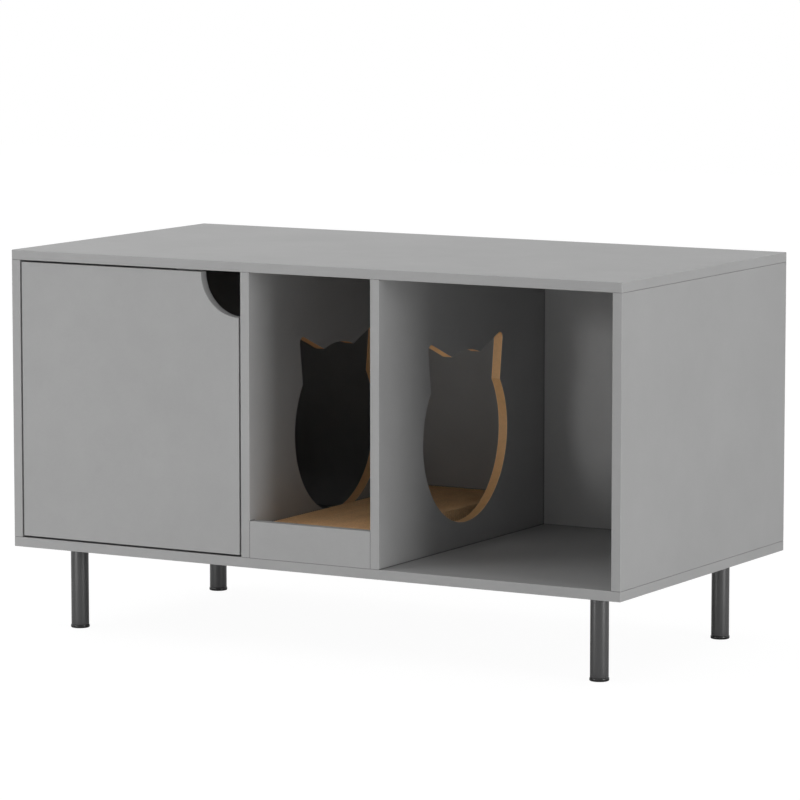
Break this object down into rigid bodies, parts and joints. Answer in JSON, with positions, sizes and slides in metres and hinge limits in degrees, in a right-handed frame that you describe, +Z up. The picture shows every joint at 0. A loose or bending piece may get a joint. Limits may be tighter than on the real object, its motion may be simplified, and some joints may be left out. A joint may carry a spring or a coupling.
{
  "type": "cat litter box cabinet",
  "caption": "Grey panel cabinet on round metal legs: inset door with a finger notch, open middle and right bays, cat-head doorways through the dividers, and a corrugated scratch pad.",
  "frame": {"origin": "on the floor under the middle of the cabinet, at the bottom centre of its bounding box", "axes": "+X to the cabinet's right seen from the front, +Y to the back, +Z up; the door and the open bays face -Y"},
  "size_m": [1.05, 0.552, 0.592],
  "materials": {
    "grey_laminate": "concrete-look laminate on 15 mm particle board, satin",
    "back_laminate": "grey printed face on thin fibreboard",
    "leg_paint": "satin dark grey powder coat",
    "black_plastic": "moulded black plastic, slightly glossy",
    "grey_plastic": "moulded grey plastic",
    "white_plastic": "moulded white plastic",
    "zinc_steel": "bright zinc-plated steel",
    "nickel_steel": "nickel-plated pressed steel",
    "cast_zinc": "die-cast zinc, dull",
    "beech_wood": "fluted beech",
    "cardboard": "corrugated cardboard, cut edges up",
    "ferrite": "dark sintered ferrite"
  },
  "bodies": {
    "carcass": {"top_panel": "grey_laminate", "bottom_panel": "grey_laminate", "left_side_panel": "grey_laminate", "right_side_panel": "grey_laminate", "left_divider": "grey_laminate", "right_divider": "grey_laminate", "front_lip_board": "grey_laminate", "back_panel": "back_laminate", "cam_bolts": "zinc_steel", "cam_locks": "cast_zinc", "wooden_dowels": "beech_wood", "back_panel_screws": "zinc_steel", "leg_plate_screws": "zinc_steel", "hinge_plate_screws": "nickel_steel", "hinge_clamp_screws": "nickel_steel", "hinge_adjusting_screws": "nickel_steel", "catch_housing": "white_plastic", "catch_magnet": "ferrite", "catch_pole_plates": "zinc_steel", "catch_screws": "zinc_steel", "leg_studs": "zinc_steel", "leg_inserts": "grey_plastic", "front_left_leg_tube": "leg_paint", "front_left_leg_plate": "leg_paint", "front_left_foot_glide": "black_plastic", "front_right_leg_tube": "leg_paint", "front_right_leg_plate": "leg_paint", "front_right_foot_glide": "black_plastic", "back_left_leg_tube": "leg_paint", "back_left_leg_plate": "leg_paint", "back_left_foot_glide": "black_plastic", "back_right_leg_tube": "leg_paint", "back_right_leg_plate": "leg_paint", "back_right_foot_glide": "black_plastic", "upper_hinge_arm": "nickel_steel", "upper_hinge_plate": "cast_zinc", "lower_hinge_arm": "nickel_steel", "lower_hinge_plate": "cast_zinc"},
    "door": {"door_panel": "grey_laminate", "upper_hinge_cup": "nickel_steel", "lower_hinge_cup": "nickel_steel", "hinge_pins": "zinc_steel", "hinge_cup_screws": "nickel_steel", "strike_plate": "zinc_steel", "strike_plate_screw": "zinc_steel"},
    "scratch_pad": {"scratch_pad": "cardboard"}
  },
  "joints": [
    {"name": "door_hinge", "type": "hinge", "parent": "carcass", "child": "door", "pos_m": [-0.494, -0.268, 0.362], "axis": [0, 0, -1], "range_deg": [0, 95]},
    {"name": "scratch_pad_lift", "type": "slide", "parent": "carcass", "child": "scratch_pad", "axis": [0, 0, 1], "range_m": [0, 0.08]}
  ]
}
